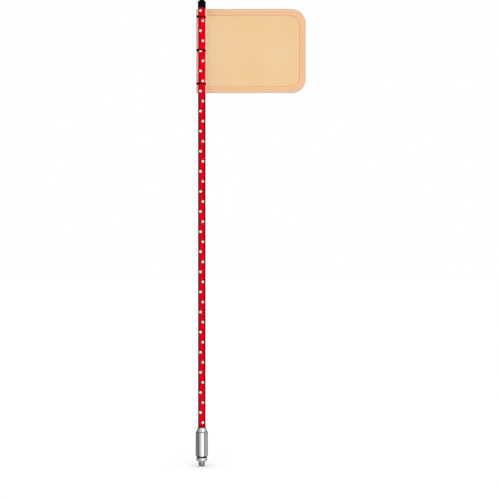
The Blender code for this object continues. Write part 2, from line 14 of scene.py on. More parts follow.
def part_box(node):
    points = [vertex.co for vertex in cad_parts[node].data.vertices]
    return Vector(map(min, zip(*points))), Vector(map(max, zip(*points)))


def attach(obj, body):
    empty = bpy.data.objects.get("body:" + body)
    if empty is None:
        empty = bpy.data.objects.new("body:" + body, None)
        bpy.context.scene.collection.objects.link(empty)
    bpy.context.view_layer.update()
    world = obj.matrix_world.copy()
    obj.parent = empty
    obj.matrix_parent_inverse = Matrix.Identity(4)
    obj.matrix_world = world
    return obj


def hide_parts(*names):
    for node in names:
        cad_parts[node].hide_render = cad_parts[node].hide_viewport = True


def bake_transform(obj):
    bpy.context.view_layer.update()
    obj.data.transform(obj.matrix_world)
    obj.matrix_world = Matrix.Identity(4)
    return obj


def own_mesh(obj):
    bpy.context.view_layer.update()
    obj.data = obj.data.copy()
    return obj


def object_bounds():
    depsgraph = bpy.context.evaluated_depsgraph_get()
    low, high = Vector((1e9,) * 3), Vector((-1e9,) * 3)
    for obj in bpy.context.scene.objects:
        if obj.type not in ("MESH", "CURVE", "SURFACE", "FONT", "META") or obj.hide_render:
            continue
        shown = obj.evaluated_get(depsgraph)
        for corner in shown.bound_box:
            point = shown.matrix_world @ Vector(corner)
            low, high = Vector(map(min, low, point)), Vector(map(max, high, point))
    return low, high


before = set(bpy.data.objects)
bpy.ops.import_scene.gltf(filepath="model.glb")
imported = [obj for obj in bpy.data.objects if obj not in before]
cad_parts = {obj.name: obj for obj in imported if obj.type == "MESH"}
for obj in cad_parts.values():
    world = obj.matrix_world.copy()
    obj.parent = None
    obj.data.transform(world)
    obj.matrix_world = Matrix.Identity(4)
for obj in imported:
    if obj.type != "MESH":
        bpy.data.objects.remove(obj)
cad_low, cad_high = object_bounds()
scene = bpy.context.scene
mm = 0.001

# ---------------------------------------------------------------- studio
# A white sweep and one camera, level with the middle of the pole. The light is a soft white room with
# a bright window of cloth ahead and to the right and darker flats at both sides, which shape the steel
# and the tube.
camera_data = bpy.data.cameras.new("studio_camera")
camera = bpy.data.objects.new("studio_camera", camera_data)
scene.collection.objects.link(camera)
camera_distance = 4.0
view_width = 1.6585
camera_data.lens = camera_data.sensor_width * camera_distance / view_width
camera_data.clip_end = 100.0
camera.location = (0.160, -camera_distance, 0.716)
camera.rotation_euler = (math.pi / 2, 0.0, 0.0)
scene.camera = camera
scene.view_settings.view_transform = "Standard"
scene.view_settings.look = "None"

studio = bpy.data.worlds.new("studio")
scene.world = studio
studio.use_nodes = True
studio_nodes = studio.node_tree.nodes
studio_links = studio.node_tree.links
studio_nodes.clear()
look_direction = studio_nodes.new("ShaderNodeTexCoord").outputs["Generated"]


def room_patch(direction, inner, outer, strength):
    """Light that is full within inner degrees of a direction and fades out at outer degrees."""
    cosine = studio_nodes.new("ShaderNodeVectorMath")
    cosine.operation = "DOT_PRODUCT"
    cosine.inputs[1].default_value = Vector(direction).normalized()
    fade = studio_nodes.new("ShaderNodeMapRange")
    fade.interpolation_type = "SMOOTHSTEP"
    fade.inputs["From Min"].default_value = math.cos(math.radians(outer))
    fade.inputs["From Max"].default_value = math.cos(math.radians(inner))
    fade.inputs["To Max"].default_value = strength
    studio_links.new(look_direction, cosine.inputs[0])
    studio_links.new(cosine.outputs["Value"], fade.inputs["Value"])
    return fade.outputs["Result"]


room_level = 0.55
patches = [
    room_patch((0.0, 0.0, 1.0), 20, 75, 1.25),
    room_patch((0.0, -1.0, 0.15), 15, 50, 1.3),
]
total = None
for patch in patches:
    adder = studio_nodes.new("ShaderNodeMath")
    adder.operation = "ADD"
    adder.inputs[1].default_value = room_level
    if total:
        studio_links.new(total, adder.inputs[1])
    studio_links.new(patch, adder.inputs[0])
    total = adder.outputs["Value"]
room = studio_nodes.new("ShaderNodeBackground")
studio_links.new(total, room.inputs["Strength"])
sweep = studio_nodes.new("ShaderNodeBackground")
sweep.inputs["Color"].default_value = (1.0, 1.0, 1.0, 1.0)
seen_or_not = studio_nodes.new("ShaderNodeMixShader")
ray_kind = studio_nodes.new("ShaderNodeLightPath")
studio_links.new(ray_kind.outputs["Is Camera Ray"], seen_or_not.inputs["Fac"])
studio_links.new(room.outputs["Background"], seen_or_not.inputs[1])
studio_links.new(sweep.outputs["Background"], seen_or_not.inputs[2])
studio_out = studio_nodes.new("ShaderNodeOutputWorld")
studio_links.new(seen_or_not.outputs["Shader"], studio_out.inputs["Surface"])

floor_mesh = bpy.data.meshes.new("studio_floor")
floor_bm = bmesh.new()
bmesh.ops.create_grid(floor_bm, x_segments=1, y_segments=1, size=30.0)
floor_bm.to_mesh(floor_mesh)
floor_bm.free()
floor = bpy.data.objects.new("studio_floor", floor_mesh)
floor.location.z = cad_low.z - 0.5 * mm
scene.collection.objects.link(floor)
floor.visible_glossy = False


def finish_material(name, colour, roughness, metallic=0.0):
    """A Principled material with one colour, for the nodes of each finish to build on."""
    material = bpy.data.materials.new(name)
    material.use_nodes = True
    shader = material.node_tree.nodes["Principled BSDF"]
    shader.inputs["Base Color"].default_value = (*colour, 1.0)
    shader.inputs["Roughness"].default_value = roughness
    shader.inputs["Metallic"].default_value = metallic
    return material


floor_paint = finish_material("floor_paint", (0.93, 0.93, 0.93), 0.9)
floor_mesh.materials.append(floor_paint)


def add_tent_panel(start, end, brightness):
    """One upright panel of the light tent between two turns; reflections and the lens see it."""
    bm = bmesh.new()
    turn = math.radians(start)
    foot = Vector((tent_r * math.sin(turn), -tent_r * math.cos(turn), tent_low))
    upright = [bm.verts.new(foot), bm.verts.new(foot + Vector((0.0, 0.0, tent_high - tent_low)))]
    edge = bm.edges.new(upright)
    bmesh.ops.spin(
        bm,
        geom=upright + [edge],
        axis=(0.0, 0.0, 1.0),
        cent=(0.0, 0.0, 0.0),
        angle=math.radians(end - start),
        steps=max(2, round((end - start) / 6)),
    )
    name = f"tent_panel_{start}"
    mesh = bpy.data.meshes.new(name)
    bm.to_mesh(mesh)
    bm.free()
    cloth = bpy.data.materials.new(name)
    cloth.use_nodes = True
    cloth.node_tree.nodes.clear()
    light = cloth.node_tree.nodes.new("ShaderNodeEmission")
    light.inputs["Strength"].default_value = brightness
    out = cloth.node_tree.nodes.new("ShaderNodeOutputMaterial")
    cloth.node_tree.links.new(light.outputs["Emission"], out.inputs["Surface"])
    mesh.materials.append(cloth)
    panel = bpy.data.objects.new(name, mesh)
    scene.collection.objects.link(panel)
    panel.visible_camera = False
    panel.visible_diffuse = False
    panel.visible_shadow = False


tent_r = 0.55
tent_low = -0.6
tent_high = 1.9
tent_edges = [-180, -140, -124, -62, -36, -14, -4, 35, 60, 100, 123, 145, 180]
tent_brightness = [0.4, 0.1, 0.24, 0.4, 0.75, 0.3, 1.3, 0.85, 0.65, 0.44, 0.18, 0.08]
for start, end, brightness in zip(tent_edges, tent_edges[1:], tent_brightness):
    add_tent_panel(start, end, brightness)

# ---------------------------------------------------------------- hexagonal base body
# Bar steel, 36 mm across its flats, turned to a cone at the top and chamfered at the bottom, then
# polished along its length. The chamfers leave curved edges where they meet the flats. Dark lines of
# painted shade run along its corners, these curved edges, the socket's lip and the bottom chamfer.


def pattern(material, stretch, scale, detail=3.0):
    """Noise on the piece's own coordinates in metres, stretched by three factors."""
    nodes = material.node_tree.nodes
    links = material.node_tree.links
    place = nodes.new("ShaderNodeTexCoord")
    mapping = nodes.new("ShaderNodeMapping")
    mapping.inputs["Scale"].default_value = stretch
    noise = nodes.new("ShaderNodeTexNoise")
    noise.inputs["Scale"].default_value = scale
    noise.inputs["Detail"].default_value = detail
    links.new(place.outputs["Object"], mapping.inputs["Vector"])
    links.new(mapping.outputs["Vector"], noise.inputs["Vector"])
    return noise.outputs["Fac"]


def tint(material, factor, low, high, start=0.3, end=0.7):
    """Colours the piece from low to high as the factor goes from start to end."""
    ramp = material.node_tree.nodes.new("ShaderNodeValToRGB")
    ramp.color_ramp.elements[0].position = start
    ramp.color_ramp.elements[0].color = (*low, 1.0)
    ramp.color_ramp.elements[1].position = end
    ramp.color_ramp.elements[1].color = (*high, 1.0)
    links = material.node_tree.links
    links.new(factor, ramp.inputs["Fac"])
    shader = material.node_tree.nodes["Principled BSDF"]
    links.new(ramp.outputs["Color"], shader.inputs["Base Color"])


def place_along(material, axis, start, end):
    """How far a point lies along an axis of the piece, from 0 at start to 1 at end, in metres."""
    nodes = material.node_tree.nodes
    links = material.node_tree.links
    place = nodes.new("ShaderNodeTexCoord")
    split = nodes.new("ShaderNodeSeparateXYZ")
    links.new(place.outputs["Object"], split.inputs["Vector"])
    share = nodes.new("ShaderNodeMapRange")
    share.inputs["From Min"].default_value = start
    share.inputs["From Max"].default_value = end
    links.new(split.outputs[axis], share.inputs["Value"])
    return share.outputs["Result"]


def grade(material, factor, stops):
    """Colours the piece through several (position, colour) stops of the factor."""
    tint(material, factor, stops[0][1], stops[-1][1], stops[0][0], stops[-1][0])
    shader = material.node_tree.nodes["Principled BSDF"]
    ramp = shader.inputs["Base Color"].links[0].from_node.color_ramp
    for position, colour in stops[1:-1]:
        ramp.elements.new(position).color = (*colour, 1.0)


def roughen(material, factor, low, high):
    """Varies the roughness between two values with the factor."""
    spread = material.node_tree.nodes.new("ShaderNodeMapRange")
    spread.inputs["To Min"].default_value = low
    spread.inputs["To Max"].default_value = high
    links = material.node_tree.links
    links.new(factor, spread.inputs["Value"])
    shader = material.node_tree.nodes["Principled BSDF"]
    links.new(spread.outputs["Result"], shader.inputs["Roughness"])


def relief(material, factor, depth, strength=1.0):
    """Raises the surface by depth metres where the factor is 1."""
    bump = material.node_tree.nodes.new("ShaderNodeBump")
    bump.inputs["Distance"].default_value = depth
    bump.inputs["Strength"].default_value = strength
    links = material.node_tree.links
    shader = material.node_tree.nodes["Principled BSDF"]
    links.new(factor, bump.inputs["Height"])
    links.new(bump.outputs["Normal"], shader.inputs["Normal"])


def add_piece(bm, name, body, material, smooth_angle=30):
    """Makes an object of the bmesh, shades it smooth up to an angle and lets it ride on a body."""
    mesh = bpy.data.meshes.new(name)
    bm.to_mesh(mesh)
    bm.free()
    mesh.shade_smooth()
    mesh.set_sharp_from_angle(angle=math.radians(smooth_angle))
    mesh.materials.append(material)
    piece = bpy.data.objects.new(name, mesh)
    scene.collection.objects.link(piece)
    if body:
        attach(piece, body)
    return piece


def soften(piece, width, segments=2, angle=30):
    """Rounds the piece's edges that are sharper than an angle."""
    bevel = piece.modifiers.new("soft_edges", "BEVEL")
    bevel.width = width
    bevel.segments = segments
    bevel.limit_method = "ANGLE"
    bevel.angle_limit = math.radians(angle)
    return piece


def lathe(profile, steps=96, closed=False):
    """Spins a profile of (radius, height) points round the pole's axis into a bmesh."""
    bm = bmesh.new()
    points = [bm.verts.new((radius, 0.0, height)) for radius, height in profile]
    following = points[1:] + points[:1] if closed else points[1:]
    edges = [bm.edges.new(pair) for pair in zip(points, following)]
    bmesh.ops.spin(
        bm,
        geom=points + edges,
        axis=(0.0, 0.0, 1.0),
        cent=(0.0, 0.0, 0.0),
        angle=math.tau,
        steps=steps,
        use_merge=True,
    )
    bmesh.ops.remove_doubles(bm, verts=bm.verts, dist=0.000001)
    bmesh.ops.recalc_face_normals(bm, faces=bm.faces)
    return bm


def paint_shade_on_edges(material, name, colour):
    """Paints shade: darkens the finish towards a colour where the piece's own attribute of that name is
    1.
    """
    nodes = material.node_tree.nodes
    links = material.node_tree.links
    shader = nodes["Principled BSDF"]
    near_edge = nodes.new("ShaderNodeAttribute")
    near_edge.attribute_name = name
    mix = nodes.new("ShaderNodeMix")
    mix.data_type = "RGBA"
    links.new(near_edge.outputs["Fac"], mix.inputs["Factor"])
    links.new(shader.inputs["Base Color"].links[0].from_socket, mix.inputs[6])
    mix.inputs[7].default_value = (*colour, 1.0)
    links.new(mix.outputs[2], shader.inputs["Base Color"])


hex_low, hex_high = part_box("hex_base_body")
tube_low, tube_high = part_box("lens_tube")
tube_r = tube_high.x
flat_r = hex_high.y
corner_r = hex_high.x
hex_crown = 0.5 * mm
socket_r = tube_r + 0.1 * mm
lip_r = tube_r + 0.9 * mm
cone_top_r = tube_r + 1.5 * mm
cone_top_z = hex_high.z - 2.7 * mm
cone_rows = 6
cone_rise = 2.624
cone_round = 43.6
foot_r = 17.3 * mm
foot_slope = 1.15
foot_land = 3.5 * mm
socket_depth = 6 * mm
# Widths of the painted shade along the corners, the curved edges and the bottom chamfer.
arris_width = 1.6 * mm
arris_reach = 20 * mm
scallop_inset = 0.35 * mm
scallop_dark = 1.7 * mm
scallop_fade = 3.1 * mm
foot_dark = 0.9 * mm
foot_fade = 2.6 * mm


def hex_radius(angle):
    """Distance from the axis to the hexagon's side at an angle, with the flats a hair crowned."""
    off_flat = angle % (math.pi / 3) - math.pi / 6
    across = math.tan(off_flat) / math.tan(math.pi / 6)
    return (flat_r - hex_crown * across * across) / math.cos(off_flat)


def cone_height(radius):
    """Height of the top cone's surface at a radius; it steepens towards the tube."""
    out = radius - cone_top_r
    return cone_top_z - cone_rise * out + cone_round * out * out


def hex_outline(angle):
    """The body's outer side at an angle, as (radius, height, painted edge shade) from the socket's lip
    down.
    """
    side = hex_radius(angle)
    to_arris = corner_r * (math.pi / 6 - abs(angle % (math.pi / 3) - math.pi / 6))
    # Painted shade along each corner, with a faint tail onto the flats.
    arris = max(0.0, min(1.0, 1.5 - to_arris / arris_width), 0.25 - to_arris / arris_reach)
    rows = [
        (socket_r, hex_high.z - socket_depth, 0.0),
        (socket_r, hex_high.z, 0.3),
        (lip_r, hex_high.z, 0.5),
        (cone_top_r, cone_top_z, 0.0),
    ]
    for row in range(1, cone_rows):
        radius = cone_top_r + (side - cone_top_r) * row / cone_rows
        rows.append((radius, cone_height(radius), 0.0))
    scallop_z = cone_height(side)
    foot_z = hex_low.z + (side - foot_r) * foot_slope
    return rows + [
        (side - scallop_inset, cone_height(side - scallop_inset), 0.45),
        (side, scallop_z, 1.0),
        (side, scallop_z - scallop_dark, max(0.95, arris)),
        (side, scallop_z - scallop_fade, arris),
        (side, hex_high.z / 2, arris),
        (side, foot_z + foot_fade, arris),
        (side, foot_z + foot_dark, max(0.45, min(1.0, 3 * arris))),
        (side, foot_z, 1.0),
        (foot_r, hex_low.z, 0.9),
        (foot_r - foot_land, hex_low.z, 0.9),
    ]


row_count = len(hex_outline(0.0))
hex_bm = lathe([(flat_r, -row * mm) for row in range(row_count)], steps=144)
painted_edge_shade = hex_bm.verts.layers.float.new("painted_edge_shade")
for vert in hex_bm.verts:
    angle = math.atan2(vert.co.y, vert.co.x)
    radius, height, shade = hex_outline(angle)[round(-vert.co.z / mm)]
    vert.co = (radius * math.cos(angle), radius * math.sin(angle), height)
    vert[painted_edge_shade] = shade
bmesh.ops.recalc_face_normals(hex_bm, faces=hex_bm.faces)
base_steel = finish_material("base_steel", (0.86, 0.86, 0.87), 0.22, 1.0)
brush_marks = pattern(base_steel, (1.0, 1.0, 0.02), 2600.0)
tint(base_steel, brush_marks, (0.845, 0.845, 0.85), (0.875, 0.875, 0.88))
# Painted shade: the finish goes near-black along the painted edge lines.
paint_shade_on_edges(base_steel, "painted_edge_shade", (0.05, 0.05, 0.055))
roughen(base_steel, brush_marks, 0.19, 0.22)
relief(base_steel, brush_marks, 0.000001, 0.5)
base_body = add_piece(hex_bm, "base_body", "whip", base_steel, 22)
soften(base_body, 0.3 * mm, 2, 22)
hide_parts("hex_base_body")

# ---------------------------------------------------------------- plug and its seal ring
# The plug is turned from round bar and screws up into the body. Its cone seats in the vehicle's socket,
# and a rubber ring between collar and body keeps water out. Below the collar the steel is painted
# darker down to the nose, as painted shade.
collar_r = 18.4 * mm
neck_r = 14.3 * mm
nose_r = 10.35 * mm
nose_end_r = 4.4 * mm
nose_round = 6.4 * mm
nose_top = 13.7 * mm
seat_foot_r = 10.9 * mm
seat_foot = 14.5 * mm
mouth_r = 3.2 * mm
mouth_depth = 6 * mm
collar_top = hex_low.z - 3.3 * mm
plug_profile = [
    (neck_r, hex_low.z - 0.3 * mm),
    (neck_r, collar_top),
    (collar_r - 2.0 * mm, collar_top),
    (collar_r - 1.1 * mm, collar_top - 0.6 * mm),
    (collar_r - 0.3 * mm, collar_top - 1.8 * mm),
    (collar_r, collar_top - 3.2 * mm),
    (collar_r, collar_top - 6.9 * mm),
    (collar_r - 0.5 * mm, collar_top - 8.1 * mm),
    (seat_foot_r, seat_foot),
    (nose_r, nose_top),
]
for step in range(13):
    turn = math.radians(90 * step / 12)
    radius = nose_end_r + (nose_r - nose_end_r) * math.cos(turn)
    plug_profile.append((radius, nose_round * (1 - math.sin(turn))))
plug_profile += [(mouth_r, 0.0), (mouth_r, mouth_depth)]
plug_steel = finish_material("plug_steel", (0.62, 0.62, 0.63), 0.3, 1.0)
turning_marks = pattern(plug_steel, (0.02, 0.02, 1.0), 3800.0)
up_the_plug = place_along(plug_steel, "Z", 0.0, 30 * mm)
# Painted shade: the steel darkens from the collar down to the nose.
nose_painted_shade = [(0.1, (0.27, 0.27, 0.28)), (0.46, (0.42, 0.42, 0.43)), (0.55, (0.86, 0.86, 0.87))]
grade(plug_steel, up_the_plug, nose_painted_shade)
roughen(plug_steel, turning_marks, 0.22, 0.40)
relief(plug_steel, turning_marks, 0.000005, 0.5)
plug = add_piece(lathe(plug_profile), "plug", "whip", plug_steel, 35)
soften(plug, 0.25 * mm, 2, 35)
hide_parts("plug_spigot")

ring_low, ring_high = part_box("o_ring_seal")
ring_wire_r = (ring_high.z - ring_low.z) / 2
ring_middle_r = ring_high.x - ring_wire_r
ring_profile = []
for step in range(16):
    turn = math.tau * step / 16
    height = (ring_low.z + ring_high.z) / 2 + ring_wire_r * math.sin(turn)
    ring_profile.append((ring_middle_r + ring_wire_r * math.cos(turn), height))
seal_rubber = finish_material("seal_rubber", (0.018, 0.018, 0.018), 0.55)
rubber_bloom = pattern(seal_rubber, (1.0, 1.0, 1.0), 900.0)
tint(seal_rubber, rubber_bloom, (0.012, 0.012, 0.012), (0.03, 0.03, 0.03))
roughen(seal_rubber, rubber_bloom, 0.45, 0.7)
ring_bm = lathe(ring_profile, closed=True)
seal_ring = add_piece(ring_bm, "seal_ring", "whip", seal_rubber, 60)
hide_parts("o_ring_seal")

# ---------------------------------------------------------------- sprung contact, driver and leads
# These sit inside the steel base: a brass pin on a wound spring in a nylon sleeve, the driver board,
# and the leads that join them. The spring is remade as a wound coil; the rest keep their solids.


def dress(node, material):
    """Gives a frame part its finish."""
    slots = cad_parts[node].data.materials
    slots.clear()
    slots.append(material)


contact_brass = finish_material("contact_brass", (0.80, 0.60, 0.30), 0.28, 1.0)
brass_marks = pattern(contact_brass, (0.05, 0.05, 1.0), 4000.0)
tint(contact_brass, brass_marks, (0.72, 0.52, 0.24), (0.86, 0.67, 0.36))
roughen(contact_brass, brass_marks, 0.2, 0.4)
spring_wire = finish_material("spring_wire", (0.6, 0.6, 0.62), 0.3, 1.0)
roughen(spring_wire, pattern(spring_wire, (1.0, 1.0, 1.0), 1500.0), 0.22, 0.42)
insulator_nylon = finish_material("insulator_nylon", (0.85, 0.84, 0.80), 0.45)
nylon_tone = pattern(insulator_nylon, (0.1, 0.1, 1.0), 1200.0)
tint(insulator_nylon, nylon_tone, (0.80, 0.79, 0.74), (0.88, 0.87, 0.84))
for node in ("contact_pin", "contact_terminal"):
    dress(node, contact_brass)
dress("contact_insulator", insulator_nylon)
dress("tube_seal_ring", seal_rubber)

spring_low, spring_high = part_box("contact_spring")
wire_r = 0.3 * mm
coil_r = spring_high.x - wire_r
coil_turns = 5
coil_steps = 24 * coil_turns
spring_length = spring_high.z - spring_low.z


def sweep(places, radius):
    """A round bar with closed ends through circles at a list of places, as a bmesh."""
    bm = bmesh.new()
    rings = []
    for number, place in enumerate(places):
        at_end = number in (0, len(places) - 1)
        ring = bmesh.ops.create_circle(bm, segments=8, radius=radius, cap_ends=at_end, matrix=place)
        rings.append(list({edge for vert in ring["verts"] for edge in vert.link_edges}))
    for near, far in zip(rings, rings[1:]):
        bmesh.ops.bridge_loops(bm, edges=near + far)
    bmesh.ops.recalc_face_normals(bm, faces=bm.faces)
    return bm


coil_places = []
for step in range(coil_steps + 1):
    share = step / coil_steps
    height = spring_low.z + wire_r + (spring_length - 2 * wire_r) * share
    place = Matrix.Rotation(math.tau * coil_turns * share, 4, "Z")
    place = place @ Matrix.Translation((coil_r, 0.0, height))
    coil_places.append(place @ Matrix.Rotation(math.pi / 2, 4, "X"))
coil_bm = sweep(coil_places, wire_r)
spring = add_piece(coil_bm, "contact_coil", "whip", spring_wire, 60)
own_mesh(spring)
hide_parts("contact_spring")

driver_mask = finish_material("driver_mask", (0.03, 0.25, 0.10), 0.35)
mask_tone = pattern(driver_mask, (1.0, 1.0, 1.0), 700.0)
tint(driver_mask, mask_tone, (0.02, 0.19, 0.07), (0.04, 0.3, 0.13))
dress("driver_board", driver_mask)
for colour_name, colour, nodes in (
    ("lead_red", (0.60, 0.02, 0.02), ("supply_lead_red", "board_lead_front")),
    ("lead_black", (0.02, 0.02, 0.02), ("supply_lead_black", "board_lead_back")),
):
    lead_skin = finish_material(colour_name, colour, 0.45)
    roughen(lead_skin, pattern(lead_skin, (1.0, 1.0, 1.0), 2000.0), 0.38, 0.55)
    for node in nodes:
        dress(node, lead_skin)

# ---------------------------------------------------------------- core bar and its spacers
# A pultruded fibreglass bar stiffens the whip and carries the LED boards. Its long fibres show as
# fine streaks, and moulded spacers hold it in the middle of the tube.
core_fibreglass = finish_material("core_fibreglass", (0.80, 0.78, 0.70), 0.4)
fibres = pattern(core_fibreglass, (1.0, 1.0, 0.01), 3000.0)
tint(core_fibreglass, fibres, (0.70, 0.68, 0.60), (0.86, 0.85, 0.78))
relief(core_fibreglass, fibres, 0.00001, 0.5)
dress("core_rod", core_fibreglass)
spacer_plastic = finish_material("spacer_plastic", (0.8, 0.8, 0.78), 0.4)
roughen(spacer_plastic, pattern(spacer_plastic, (1.0, 1.0, 1.0), 1500.0), 0.32, 0.5)
for node in ("core_foot", "core_head"):
    dress(node, spacer_plastic)

# ---------------------------------------------------------------- LED boards
# Six red boards, three to a side, with fourteen LEDs each in two staggered columns. Their red is
# painted darker towards the long edges and near-black at them, as painted shade towards the tube's
# sides, and they glow a little as painted light. An LED is a white ring with a clear dome, and a
# resistor and two solder pads sit beside it.


def adjust(material, settings):
    """Sets further inputs of a finish's shader by their names."""
    shader = material.node_tree.nodes["Principled BSDF"]
    for name, value in settings.items():
        shader.inputs[name].default_value = value


mask_half = 8.2 * mm
board_solder_mask = finish_material("board_solder_mask", (0.85, 0.03, 0.05), 0.35)
roughen(board_solder_mask, pattern(board_solder_mask, (1.0, 1.0, 0.3), 900.0), 0.3, 0.5)
# Painted shade: the red darkens towards the board's long edges and is near-black at them.
mask_red_and_rim_shade_stops = [
    (0.06, (0.02, 0.0, 0.01)),
    (0.09, (0.68, 0.01, 0.12)),
    (0.35, (0.84, 0.02, 0.16)),
    (0.65, (0.84, 0.02, 0.16)),
    (0.91, (0.68, 0.01, 0.12)),
    (0.94, (0.02, 0.0, 0.01)),
]
grade(board_solder_mask, place_along(board_solder_mask, "X", -mask_half, mask_half), mask_red_and_rim_shade_stops)
# Painted light: the boards glow a little, as if lit from inside the tube.
painted_board_glow = {"Emission Color": (1.0, 0.0, 0.2, 1.0), "Emission Strength": 0.25}
adjust(board_solder_mask, painted_board_glow | {"Specular IOR Level": 0.1})
led_glow = finish_material("led_glow", (0.9, 0.9, 0.9), 0.3)
adjust(led_glow, {"Emission Color": (0.155, 1.0, 0.74, 1.0), "Emission Strength": 7.6})
led_glow.cycles.emission_sampling = "NONE"
led_ring_white = finish_material("led_ring_white", (0.9, 0.9, 0.9), 0.4)
resistor_brown = finish_material("resistor_brown", (0.30, 0.02, 0.02), 0.4)
pad_copper = finish_material("pad_copper", (0.80, 0.16, 0.10), 0.4, 1.0)

leds_per_board = 14
board_gap = 0.3 * mm
led_r = 4.3 * mm
led_column_x = 3.7 * mm
led_sides = 20
led_taper = 0.15 * mm
ring_share = 0.55
dome_r = 3.9 * mm
dome_steps = ((1.0, 0.86, 0.0, 0.55), (0.86, 0.5, 0.55, 0.9), (0.5, 0.1, 0.9, 1.0))
board_thickness = 1.0 * mm
resistor_x = 4.6 * mm
resistor_size = (1.2 * mm, 0.44 * mm, 2.0 * mm)
pad_size = (1.4 * mm, 0.12 * mm, 0.9 * mm)
pad_z = 1.3 * mm


def add_box(bm, centre, size):
    """Adds a box with its centre and its three sizes to the bmesh."""
    place = Matrix.Translation(centre) @ Matrix.Diagonal((*size, 1.0))
    return bmesh.ops.create_cube(bm, size=1.0, matrix=place)


def add_led_parts(bm_ring, bm_dome, spot, board_face, top_face):
    """A white ring standing on the board and a shallow dome that fills it."""
    face_front = Matrix.Rotation(math.pi / 2, 4, "X")
    ring_height = (board_face - top_face) * ring_share
    place = Matrix.Translation((spot.x, board_face - ring_height / 2, spot.z)) @ face_front
    bmesh.ops.create_cone(
        bm_ring,
        cap_ends=True,
        segments=led_sides,
        radius1=led_r,
        radius2=led_r - led_taper,
        depth=ring_height,
        matrix=place,
    )
    dome_base = board_face - ring_height
    for near_r, far_r, near, far in dome_steps:
        depth = (far - near) * (dome_base - top_face)
        middle = dome_base - (near + far) / 2 * (dome_base - top_face)
        place = Matrix.Translation((spot.x, middle, spot.z)) @ face_front
        bmesh.ops.create_cone(
            bm_dome,
            cap_ends=True,
            segments=led_sides,
            radius1=dome_r * near_r,
            radius2=dome_r * far_r,
            depth=depth,
            matrix=place,
        )


board_number = 0
for face in ("front", "back"):
    for level in ("lower", "middle", "upper"):
        node = f"led_board_{face}_{level}"
        low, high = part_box(node)
        half_turn = Matrix.Rotation(0.0 if face == "front" else math.pi, 4, "Z")
        pitch = (high.z - low.z + board_gap) / leds_per_board
        first_z = low.z - board_gap / 2 + pitch / 2
        inner_y = -min(abs(low.y), abs(high.y))
        top_y = -max(abs(low.y), abs(high.y))
        face_y = inner_y - board_thickness
        board_bm = bmesh.new()
        middle_z = (low.z + high.z) / 2
        board_size = (high.x - low.x, board_thickness, high.z - low.z)
        add_box(board_bm, (0.0, (inner_y + face_y) / 2, middle_z), board_size)
        ring_bm = bmesh.new()
        dome_bm = bmesh.new()
        resistor_bm = bmesh.new()
        pad_bm = bmesh.new()
        for led in range(leds_per_board):
            side = 1.0 if (board_number % 3 * leds_per_board + led) % 2 == 0 else -1.0
            spot = Vector((side * led_column_x, 0.0, first_z + led * pitch))
            add_led_parts(ring_bm, dome_bm, spot, face_y, top_y)
            beside = (-side * resistor_x, face_y - resistor_size[1] / 2, spot.z)
            add_box(resistor_bm, beside, resistor_size)
            for end in (-1, 1):
                pad = (beside[0], face_y - pad_size[1] / 2, spot.z + end * pad_z)
                add_box(pad_bm, pad, pad_size)
        for kind, bm, material in (
            ("board", board_bm, board_solder_mask),
            ("rings", ring_bm, led_ring_white),
            ("domes", dome_bm, led_glow),
            ("resistors", resistor_bm, resistor_brown),
            ("pads", pad_bm, pad_copper),
        ):
            bmesh.ops.transform(bm, matrix=half_turn, verts=bm.verts)
            piece = add_piece(bm, f"led_{kind}_{face}_{level}", "whip", material, 40)
            if kind == "board":
                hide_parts(node)
            if kind == "domes":
                piece.visible_diffuse = False
        board_number += 1

# ---------------------------------------------------------------- lens tube
# Clear polycarbonate tinted red all through, 25 mm with a 2 mm wall. It is bonded in the base, its tint
# darker over its first 7 mm above the base, and it shows the white LEDs through its tint.
lens_wall = 2.0 * mm
darker_foot = 7 * mm
bore_r = tube_r - lens_wall
lens_profile = [
    (tube_r, tube_high.z),
    (tube_r, tube_low.z),
    (bore_r, tube_low.z),
    (bore_r, tube_high.z),
]
lens_red = finish_material("lens_red", (0.93, 0.12, 0.16), 0.04)
adjust(
    lens_red,
    {"Transmission Weight": 1.0, "IOR": 1.22, "Specular Tint": (1.0, 0.12, 0.15, 1.0)},
)
# The tint darkens towards the tube's foot.
up_from_base = place_along(lens_red, "Z", hex_high.z, hex_high.z + darker_foot)
tint(lens_red, up_from_base, (0.20, 0.01, 0.02), (0.93, 0.12, 0.16), 0.0, 1.0)
lens_haze = pattern(lens_red, (1.0, 1.0, 0.08), 500.0)
roughen(lens_red, lens_haze, 0.02, 0.07)
lens = add_piece(lathe(lens_profile, closed=True), "lens", "whip", lens_red, 40)
soften(lens, 0.3 * mm, 2, 40)
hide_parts("lens_tube")

# ---------------------------------------------------------------- end cap
# A moulded rubber cap pushed over the tube's end, with a round shoulder and a nib on top.
cap_low, cap_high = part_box("end_cap")
cap_r = cap_high.x
nib_r = 8.0 * mm
nib_round = 1.4 * mm
shoulder_z = cap_high.z - 7.2 * mm
shoulder_round = 5.0 * mm
nib_foot = 0.5 * mm
rim_step = 0.25 * mm
rim_height = 3.4 * mm
rim_slope = 0.6 * mm
cap_clearance = 0.1 * mm
cap_gap = 0.3 * mm
cap_profile = [(0.0, cap_high.z)]


def add_round(profile, centre, radius):
    """Adds a quarter circle to a profile, from its top round to its outer side."""
    for step in range(7):
        turn = math.radians(90 - 15 * step)
        profile.append((centre[0] + radius * math.cos(turn), centre[1] + radius * math.sin(turn)))


